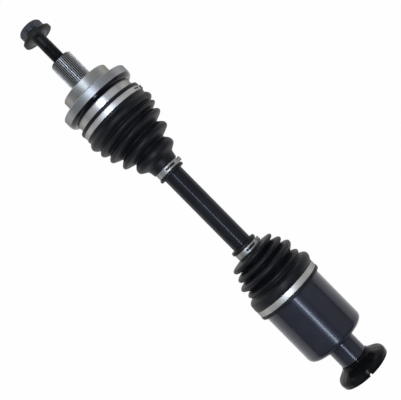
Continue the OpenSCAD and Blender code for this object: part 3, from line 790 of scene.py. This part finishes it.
@dataclass
class InnerBoot(Assembly):
    """The boot on the inner joint: fins by the bar, and rolls by the can."""

    grip_r: float = 13.25
    seat_r: float = 42.05
    wall: float = 2.0
    end_lip: Spot = (273.7, 18.15)
    small_collar: tuple[float, float, float] = (278.6, 286.6, 15.75)
    fins: tuple[Fold, ...] = (
        (291.5, 32.8, 2.3), (296.2, 24.4, 0.0), (302.4, 37.2, 2.3), (306.9, 30.6, 0.0), (313.0, 42.4, 2.4),
    )
    fin_end: Spot = (321.0, 34.0)
    rolls: tuple[Fold, ...] = (
        (320.8, 33.4, 0.0), (325.8, 41.6, 1.5), (330.0, 39.0, 0.0), (337.6, 47.4, 3.4),
    )
    sleeve: Spot = (318.4, 33.0)
    roll_end: Spot = (345.6, 45.6)
    collar: tuple[float, float, float] = (345.7, 353.5, 45.05)
    lip: Spot = (357.8, 46.45)
    can_mouth: float = 346.0
    soft: float = 3.6
    lean: float = 2.0
    lean_rise: Spot = (284.0, 292.0)
    lean_fall: Spot = (309.0, 325.0)
    shift: float = 1.6
    shift_rise: Spot = (286.0, 302.0)
    shift_fall: Spot = (338.0, 345.5)
    ripple: float = 0.14
    ripple_twist: float = 0.2
    bend: Spot = (284.0, 319.0)
    slide: Spot = (318.4, 345.4)
    segments: int = 144

    def warp(self, x: float, r: float, angle: float) -> Vector:
        """Lean the fins, set them a little to one side and ripple the rubber."""
        share = smooth(*self.lean_rise, x) * (1 - smooth(*self.lean_fall, x))
        aside = smooth(*self.shift_rise, x) * (1 - smooth(*self.shift_fall, x))
        ripple = self.ripple * share * math.sin(3 * angle + self.ripple_twist * x)
        spot = straight(x - self.lean * share * math.sin(angle), r + ripple, angle)
        return spot + Vector((0.0, self.shift * aside, 0.0)) * MM

    def fin_outline(self) -> list[Spot]:
        """Closed outline of the small collar and the fins.

        Returns:
            Points from the small lip along the outside and back along the inside.
        """
        end_x, end_r = self.end_lip
        band_from, band_to, band_r = self.small_collar
        front = rounded([
            (end_x, self.grip_r, 0.6), (end_x, end_r, 2.0), (band_from - 0.4, end_r, 0.7),
            (band_from, band_r, 0.2), (band_to, band_r, 0.2), (band_to + 0.2, end_r, 0.2),
            (band_to, self.grip_r, 0.0),
        ], 3)[:-1]
        folds = bellows((band_to + 0.4, end_r), self.fins, self.fin_end, self.soft)
        inside = reversed(offset(folds, self.wall))
        kept = [(x, max(r, self.grip_r)) for x, r in inside if x > band_to + 1]
        return front + folds + kept + [(band_to + 0.6, self.grip_r)]

    def roll_outline(self) -> list[Spot]:
        """Closed outline of the sleeve under the last fin, the rolls and the large collar.

        Returns:
            Points from the sleeve along the outside and back along the inside.
        """
        band_from, band_to, band_r = self.collar
        lip_x, lip_r = self.lip
        folds = bellows(self.sleeve, self.rolls, self.roll_end, self.soft)
        back = rounded([
            (self.roll_end[0] - 2, self.roll_end[1], 0.0), (band_from, band_r, 0.1), (band_to, band_r, 0.2),
            (band_to + 0.4, lip_r, 0.5), (lip_x, lip_r, 0.8), (lip_x, self.seat_r, 0.4),
            (self.can_mouth - 0.1, self.seat_r, 0.2), (self.can_mouth - 2, self.seat_r - 0.4, 0.0),
        ], 3)[1:]
        inside = [spot for spot in reversed(offset(folds, self.wall)) if spot[0] < self.can_mouth - 3]
        return folds + back + inside

    def build(self) -> None:
        """Make both halves, the fins and the rolls."""
        fin_rows = [fixed(*p) for p in self.fin_outline()]
        fins = turn("inner_boot_fins", fin_rows, self.segments, self.warp)
        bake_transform(fins)
        roll_rows = [fixed(*p) for p in self.roll_outline()]
        rolls = turn("inner_boot_rolls", roll_rows, self.segments, self.warp)
        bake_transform(rolls)
        for piece in (fins, rolls):
            self.pieces.append((stand_for(piece, "boot_rubber", "inner_boot"), Look.RUBBER))


@dataclass
class Clamp(Assembly):
    """A clamp band, with a pinched ear at +Y and a slot where it has them."""

    node: str = ""
    body: str = ""
    start: float = 0.0
    width: float = 7.4
    inner_r: float = 15.8
    thick: float = 0.8
    look: Look = Look.BAND
    ear_h: float = 0.0
    ear_share: float = 0.75
    slot_turn: Optional[Spot] = None
    slot_w: float = 2.2
    segments: int = 180
    edge: float = 0.25
    join: float = 0.01

    def band_rows(self) -> list[float]:
        """Places across the band where its mesh has a line."""
        middle = self.width / 2
        return [0.0, middle - self.slot_w / 2, middle + self.slot_w / 2, self.width]

    def build(self) -> None:
        """Make the band, cut its slot, add its ear and give it thickness."""
        shape = bmesh.new()
        rows = self.band_rows()
        angles = [360.0 * k / self.segments for k in range(self.segments)]
        grid = [
            [shape.verts.new(straight(self.start + across, self.inner_r, math.radians(a))) for a in angles]
            for across in rows
        ]
        for i in range(len(rows) - 1):
            for j, angle in enumerate(angles):
                if i == 1 and self.slot_turn and self.in_slot(angle):
                    continue
                n = (j + 1) % self.segments
                shape.faces.new((grid[i][j], grid[i][n], grid[i + 1][n], grid[i + 1][j]))
        if self.ear_h:
            self.add_ear(shape)
        piece = settle(f"{self.node}_band", shape)
        thicken = piece.modifiers.new("thickness", "SOLIDIFY")
        thicken.thickness = self.thick * MM
        thicken.offset = 1.0
        thicken.use_even_offset = True
        soften = piece.modifiers.new("edges", "BEVEL")
        soften.width = self.edge * MM
        soften.segments = 2
        soften.limit_method = "ANGLE"
        joined = piece.modifiers.new("joined", "WELD")
        joined.merge_threshold = self.join * MM
        self.pieces.append((keep(piece, self.body, "clamp_steel", self.node), self.look))

    def in_slot(self, angle: float) -> bool:
        """Whether an angle in degrees lies in the slot."""
        low, high = self.slot_turn
        return low <= (angle + 180) % 360 - 180 < high

    def add_ear(self, shape: bmesh.types.BMesh) -> None:
        """Add the pinched ear: a loop of strip that stands on the band.

        Args:
            shape: The mesh under construction.
        """
        top = self.ear_h
        path = (
            (-5.6, 0.15), (-4.2, 0.3), (-3.1, 0.55), (-2.3, 1.1), (-1.9, 0.45 * top), (-2.3, 0.7 * top),
            (-2.0, 0.9 * top), (-1.0, top), (0.0, top * 1.02), (1.0, top), (2.0, 0.9 * top),
            (2.3, 0.7 * top), (1.9, 0.45 * top), (2.3, 1.1), (3.1, 0.55), (4.2, 0.3), (5.6, 0.15),
        )
        low = self.start + self.width * (1 - self.ear_share) / 2
        high = self.start + self.width * (1 + self.ear_share) / 2
        lines = []
        for across, up in path:
            r = self.inner_r + up
            angle = math.pi / 2 + across / r
            lines.append([shape.verts.new(straight(x, r, angle)) for x in (low, high)])
        for here, there in zip(lines, lines[1:]):
            shape.faces.new((here[0], there[0], there[1], here[1]))


@dataclass
class HubBolt(Assembly):
    """The hub bolt: bevelled hexagon, coned flange, plain shank and thread."""

    top: float = -97.4
    hex_flats: float = 27.5
    hex_bevel: float = 2.4
    cone_top: float = -88.4
    rim_top: float = -83.8
    seat: float = -79.2
    flange_r: float = 20.4
    shank_r: float = 7.8
    thread_r: float = 8.0
    thread_from: float = -66.0
    tip: float = -11.2
    pitch: float = 1.5
    thread_depth: float = 0.85
    thread_steps: int = 6
    dish_r: float = 9.5
    dish_depth: float = 0.9
    cone_r: float = 14.0
    axis_r: float = 0.05
    segments: int = 96

    def hex_r(self, angle: float) -> float:
        """Distance from the axle to the hexagon's side at an angle."""
        sixth = math.pi / 3
        return self.hex_flats / 2 / math.cos((angle + sixth / 2) % sixth - sixth / 2)

    def side(self, x: float, limit: float) -> Row:
        """A row on the hexagon's side that stays within a turned bevel."""
        return lambda angle: (x, min(self.hex_r(angle), limit))

    def foot(self, x: float, out: float) -> Row:
        """A row where the hexagon runs into the cone of the flange."""
        return lambda angle: (x, max(self.hex_r(angle), out))

    def groove(self, x: float) -> Row:
        """A row of the thread, whose groove climbs by one pitch in a turn."""
        def row(angle: float) -> Spot:
            phase = (x / self.pitch - angle / (2 * math.pi)) % 1.0
            depth = max(0.0, 1 - abs(phase - 0.5) / 0.4)
            fade = smooth(self.thread_from, self.thread_from + 3, x)
            return x, self.thread_r - self.thread_depth * depth * fade
        return row

    def rows(self) -> list[Row]:
        """All rows from the middle of the head to the tip.

        Returns:
            The rows of the bolt's outline.
        """
        corner = self.hex_flats / 2 / math.cos(math.pi / 6)
        dish = self.top + self.dish_depth
        rows = [fixed(dish, self.axis_r), fixed(dish, self.dish_r - 1.2), fixed(self.top, self.dish_r)]
        rows.append(fixed(self.top, self.hex_flats / 2 - 0.9))
        for s in range(9):
            t = s / 8
            limit = self.hex_flats / 2 - 0.4 + (corner - self.hex_flats / 2 + 0.6) * t
            rows.append(self.side(self.top + 0.3 + self.hex_bevel * t, limit))
        rows.append(self.side(self.cone_top, corner + 1))
        for s in range(1, 8):
            t = s / 8
            out = self.cone_r + (self.flange_r - self.cone_r - 0.4) * t
            rows.append(self.foot(self.cone_top + (self.rim_top - self.cone_top) * t, out))
        rim = [
            (self.rim_top, self.flange_r - 0.3), (self.rim_top + 0.4, self.flange_r),
            (self.seat - 0.5, self.flange_r), (self.seat, self.flange_r - 0.5),
            (self.seat, self.shank_r + 2.2), (self.seat + 0.5, self.shank_r + 1.0),
            (self.seat + 2.0, self.shank_r), (self.thread_from - 1.0, self.shank_r),
            (self.thread_from, self.thread_r),
        ]
        rows += [fixed(*spot) for spot in rim]
        step = self.pitch / self.thread_steps
        count = int((self.tip - 2 - self.thread_from) / step)
        rows += [self.groove(self.thread_from + 0.2 + k * step) for k in range(count)]
        rows += [fixed(self.tip - 1.4, self.thread_r - 0.9), fixed(self.tip, self.thread_r - 1.8)]
        return rows + [fixed(self.tip, self.axis_r)]

    def build(self) -> None:
        """Make the bolt as one turned surface."""
        piece = turn("hub_bolt_threaded", self.rows(), self.segments)
        self.pieces.append((keep(piece, "outer_housing", "bolt_black", "hub_bolt"), Look.BOLT))


@dataclass
class DustShield(Assembly):
    """The flared shield: a trumpet with shallow pockets between moulded ribs, and a notch in its rim."""

    start: float = 467.8
    root_r: float = 17.8
    profile: tuple[Fold, ...] = (
        (468.0, 19.7, 0.5), (470.9, 21.2, 4.0), (477.7, 33.4, 4.0), (482.0, 35.6, 4.0), (487.4, 34.9, 0.0),
    )
    rim: float = 488.3
    rim_r: float = 34.8
    wall: float = 2.2
    sleeve_r: float = 17.25
    sleeve_end: float = 478.0
    hollow: Spot = (475.2, 484.3)
    hollow_r: float = 22.25
    lip_h: float = 3.2
    ribs: int = 7
    pocket_depth: float = 0.7
    pocket_span: tuple[Spot, Spot] = ((470.0, 473.5), (477.0, 480.5))
    rib_share: float = 0.34
    notch_half: float = 3.0
    notch_depth: float = 2.4
    segments: int = 240

    def pocket(self, x: float, angle: float) -> float:
        """How deep the pocket is at a place along the flare and an angle round it."""
        phase = (angle * self.ribs / (2 * math.pi)) % 1.0
        across = smooth(0.04, self.rib_share, min(phase, 1 - phase))
        opening, closing = self.pocket_span
        return self.pocket_depth * across * smooth(*opening, x) * (1 - smooth(*closing, x))

    def flare_row(self, spot: Spot, inner: Spot) -> Row:
        """A row of the flare, which sinks towards its inside where there is a pocket."""
        step = Vector(inner) - Vector(spot)
        step.normalize()

        def row(angle: float) -> Spot:
            moved = Vector(spot) + step * self.pocket(spot[0], angle)
            return moved.x, moved.y
        return row

    def rim_row(self, inset: float, r: float) -> Row:
        """A row near the rim, which steps back at the notch."""
        def row(angle: float) -> Spot:
            off = abs((math.degrees(angle) + 180) % 360 - 180)
            cut = self.notch_depth if off < self.notch_half else 0.0
            return self.rim - inset - cut, r
        return row

    def rows(self) -> list[Row]:
        """All rows, from the sleeve along the outside, round the rim and back along the inside.

        Returns:
            The rows of the shield's outline.
        """
        outside = rounded([(self.start, self.root_r, 0.0), *self.profile], 9)[:-1]
        inside = offset(outside, self.wall)
        rows = [fixed(self.start, self.sleeve_r)]
        rows += [self.flare_row(spot, inner) for spot, inner in zip(outside, inside)]
        last_x, last_r = outside[-1]
        lip_x = self.rim - self.lip_h
        for share in (0.25, 0.5, 0.7):
            rows.append(fixed(last_x + (lip_x - last_x) * share, last_r + (self.rim_r - last_r) * share))
        inner_r = self.rim_r - self.wall
        edge = (
            (0.7, self.rim_r), (0.2, self.rim_r - 0.2), (0.0, self.rim_r - 0.7),
            (0.0, inner_r + 0.4), (0.5, inner_r),
        )
        rows += [self.rim_row(inset, r) for inset, r in edge]
        hollow_from, hollow_to = self.hollow
        rows += [
            fixed(x, r) for x, r in reversed(inside) if hollow_from < x < hollow_to and r > self.hollow_r
        ]
        ledge = self.sleeve_r + self.wall
        rows += [fixed(hollow_from, ledge), fixed(self.sleeve_end, ledge)]
        return rows + [fixed(self.sleeve_end, self.sleeve_r)]

    def build(self) -> None:
        """Make the shield as one turned surface."""
        piece = turn("dust_shield_moulding", self.rows(), self.segments)
        self.pieces.append((keep(piece, "inner_housing", "shield_plastic", "dust_shield"), Look.SHIELD))


@dataclass
class PackedNodes(Assembly):
    """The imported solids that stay, each with its finish."""

    nodes: Mapping[str, bpy.types.Object] = field(default_factory=dict)
    looks: tuple[tuple[str, Look], ...] = (
        ("outer_joint_housing", Look.HOUSING),
        ("axle_bar", Look.BAR),
        ("inner_joint_housing", Look.CAN),
        ("outer_ball", Look.BALL),
        ("roller_needles", Look.BALL),
        ("can_plug", Look.PLUG),
    )

    def build(self) -> None:
        """Collect the nodes with the finish that each one takes."""
        for name, piece in self.nodes.items():
            look = next((look for start, look in self.looks if name.startswith(start)), Look.INSIDE)
            self.pieces.append((piece, look))


@dataclass(frozen=True)
class Lamp:
    """A long lamp that hangs along the axle and looks at its middle."""

    name: str
    spot: tuple[float, float, float]
    length: float
    width: float
    power: float
    colour: tuple[float, float, float] = (1.0, 1.0, 1.0)

    def hang(self, aim: Vector) -> None:
        """Add the lamp to the scene.

        Args:
            aim: The place that it looks at.
        """
        data = bpy.data.lights.new(self.name, "AREA")
        data.shape, data.size, data.size_y, data.energy = "RECTANGLE", self.length, self.width, self.power
        data.color = self.colour
        lamp = bpy.data.objects.new(self.name, data)
        lamp.location = self.spot
        lamp.rotation_euler = (aim - Vector(self.spot)).to_track_quat("-Z", "Y").to_euler()
        bpy.context.scene.collection.objects.link(lamp)


@dataclass
class Studio:
    """White floor, dim room, a long lamp above the camera and a softer one on each side."""

    floor_z: float = -0.0506
    floor_half: float = 4.0
    camera_spot: tuple[float, float, float] = (0.2001, 0.0015, 0.915)
    camera_turn: float = 45.35
    lens: float = 67.3
    middle: tuple[float, float, float] = (0.2, 0.0, 0.0)
    lamps: tuple[Lamp, ...] = (
        Lamp("lamp_above", (0.2, -0.062, 1.05), 1.6, 0.075, 8.6, (0.85, 0.95, 1.10)),
        Lamp("fill_plus_y", (0.2, 0.95, 0.8), 1.5, 1.2, 2.2),
        Lamp("fill_minus_y", (0.2, -0.95, 0.8), 1.5, 1.2, 1.5),
    )
    room: float = 0.08
    backdrop_foot: Spot = (-0.02, 0.05)
    floor_white: float = 0.86
    shadow_share: float = 0.02

    def build(self) -> None:
        """Make the camera, the lamps, the room's light and the floor."""
        scene = bpy.context.scene
        scene.view_settings.view_transform = "Standard"
        lens = bpy.data.cameras.new("camera")
        lens.lens, lens.sensor_width = self.lens, 36.0
        lens.clip_start, lens.clip_end = 0.01, 50.0
        camera = bpy.data.objects.new("camera", lens)
        camera.location = self.camera_spot
        camera.rotation_euler = (0.0, 0.0, math.radians(self.camera_turn))
        scene.collection.objects.link(camera)
        scene.camera = camera
        for lamp in self.lamps:
            lamp.hang(Vector(self.middle))
        self.light_room(scene)
        self.lay_floor(scene)

    def light_room(self, scene: bpy.types.Scene) -> None:
        """Light the room softly; the camera sees it white, and gloss and glass see its foot white."""
        scene.world = bpy.data.worlds.new("room")
        scene.world.use_nodes = True
        graph = Graph(scene.world.node_tree)
        place = graph.node("ShaderNodeTexCoord", None, None, "Generated")
        height = graph.node("ShaderNodeSeparateXYZ", None, {"Vector": place}, "Z")
        foot = 1 - graph.rise(height, *self.backdrop_foot)
        camera, mirrored = self.white_rays(graph)
        soft = graph.node("ShaderNodeBackground", None, {"Color": grey(1.0), "Strength": self.room})
        white = graph.node("ShaderNodeBackground", None, {"Color": grey(1.0), "Strength": 1.0})
        share = graph.math("MAXIMUM", camera, mirrored * foot)
        seen = graph.node("ShaderNodeMixShader", None, {0: share, 1: soft, 2: white})
        graph.node("ShaderNodeOutputWorld", None, {"Surface": seen})

    @staticmethod
    def white_rays(graph: Graph) -> tuple[Shade, Shade]:
        """Which rays see white: those of the camera, and those that gloss or glass sends on."""
        camera = graph.node("ShaderNodeLightPath", None, None, "Is Camera Ray")
        glossy, through = camera.twin("Is Glossy Ray"), camera.twin("Is Transmission Ray")
        return camera, graph.math("MAXIMUM", glossy, through)

    def lay_floor(self, scene: bpy.types.Scene) -> None:
        """Lay a white floor that keeps the axle's shadow."""
        mesh = bpy.data.meshes.new("floor")
        h, z = self.floor_half, self.floor_z
        mesh.from_pydata([(-h, -h, z), (h, -h, z), (h, h, z), (-h, h, z)], [], [(0, 1, 2, 3)])
        floor = bpy.data.objects.new("floor", mesh)
        scene.collection.objects.link(floor)
        made = bpy.data.materials.new("white_floor")
        made.use_nodes = True
        graph = Graph(made.node_tree)
        seen = graph.math("MAXIMUM", *self.white_rays(graph))
        matt = graph.node("ShaderNodeBsdfDiffuse", None, {"Color": grey(self.floor_white)})
        glow = graph.node("ShaderNodeEmission", None, {"Color": grey(1.0), "Strength": 1.0})
        share = seen * (1 - self.shadow_share)
        mixed = graph.node("ShaderNodeMixShader", None, {0: share, 1: matt, 2: glow})
        graph.node("ShaderNodeOutputMaterial", None, {"Surface": mixed})
        mesh.materials.append(made)


def main() -> None:
    """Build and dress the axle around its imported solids."""
    logging.basicConfig(level=logging.INFO, format="%(name)s: %(message)s")
    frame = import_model()
    Studio().build()
    assemblies: list[Assembly] = [
        PackedNodes(nodes=frame["nodes"]),
        HubBolt(),
        OuterBoot(),
        InnerBoot(),
        Clamp(
            node="outer_boot_large_clamp", body="outer_housing",
            start=47.4, width=6.8, inner_r=44.7, ear_h=2.5,
            slot_turn=(58.0, 74.0), slot_w=1.7,
        ),
        Clamp(
            node="outer_boot_small_clamp", body="shaft", start=142.0, ear_h=3.6, slot_turn=(-10.0, 40.0),
            look=Look.SMALL_BAND,
        ),
        Clamp(
            node="inner_boot_small_clamp", body="shaft", start=278.9, ear_h=3.6, slot_turn=(-8.0, 44.0),
            look=Look.SMALL_BAND,
        ),
        Clamp(
            node="inner_boot_large_clamp", body="inner_housing", start=345.8, width=7.6, inner_r=45.1,
            look=Look.WARM_BAND,
        ),
        DustShield(),
    ]
    for assembly in assemblies:
        assembly.build()
        assembly.dress()
        LOG.info("%s: %d pieces", type(assembly).__name__, len(assembly.pieces))


if __name__ == "__main__":
    main()
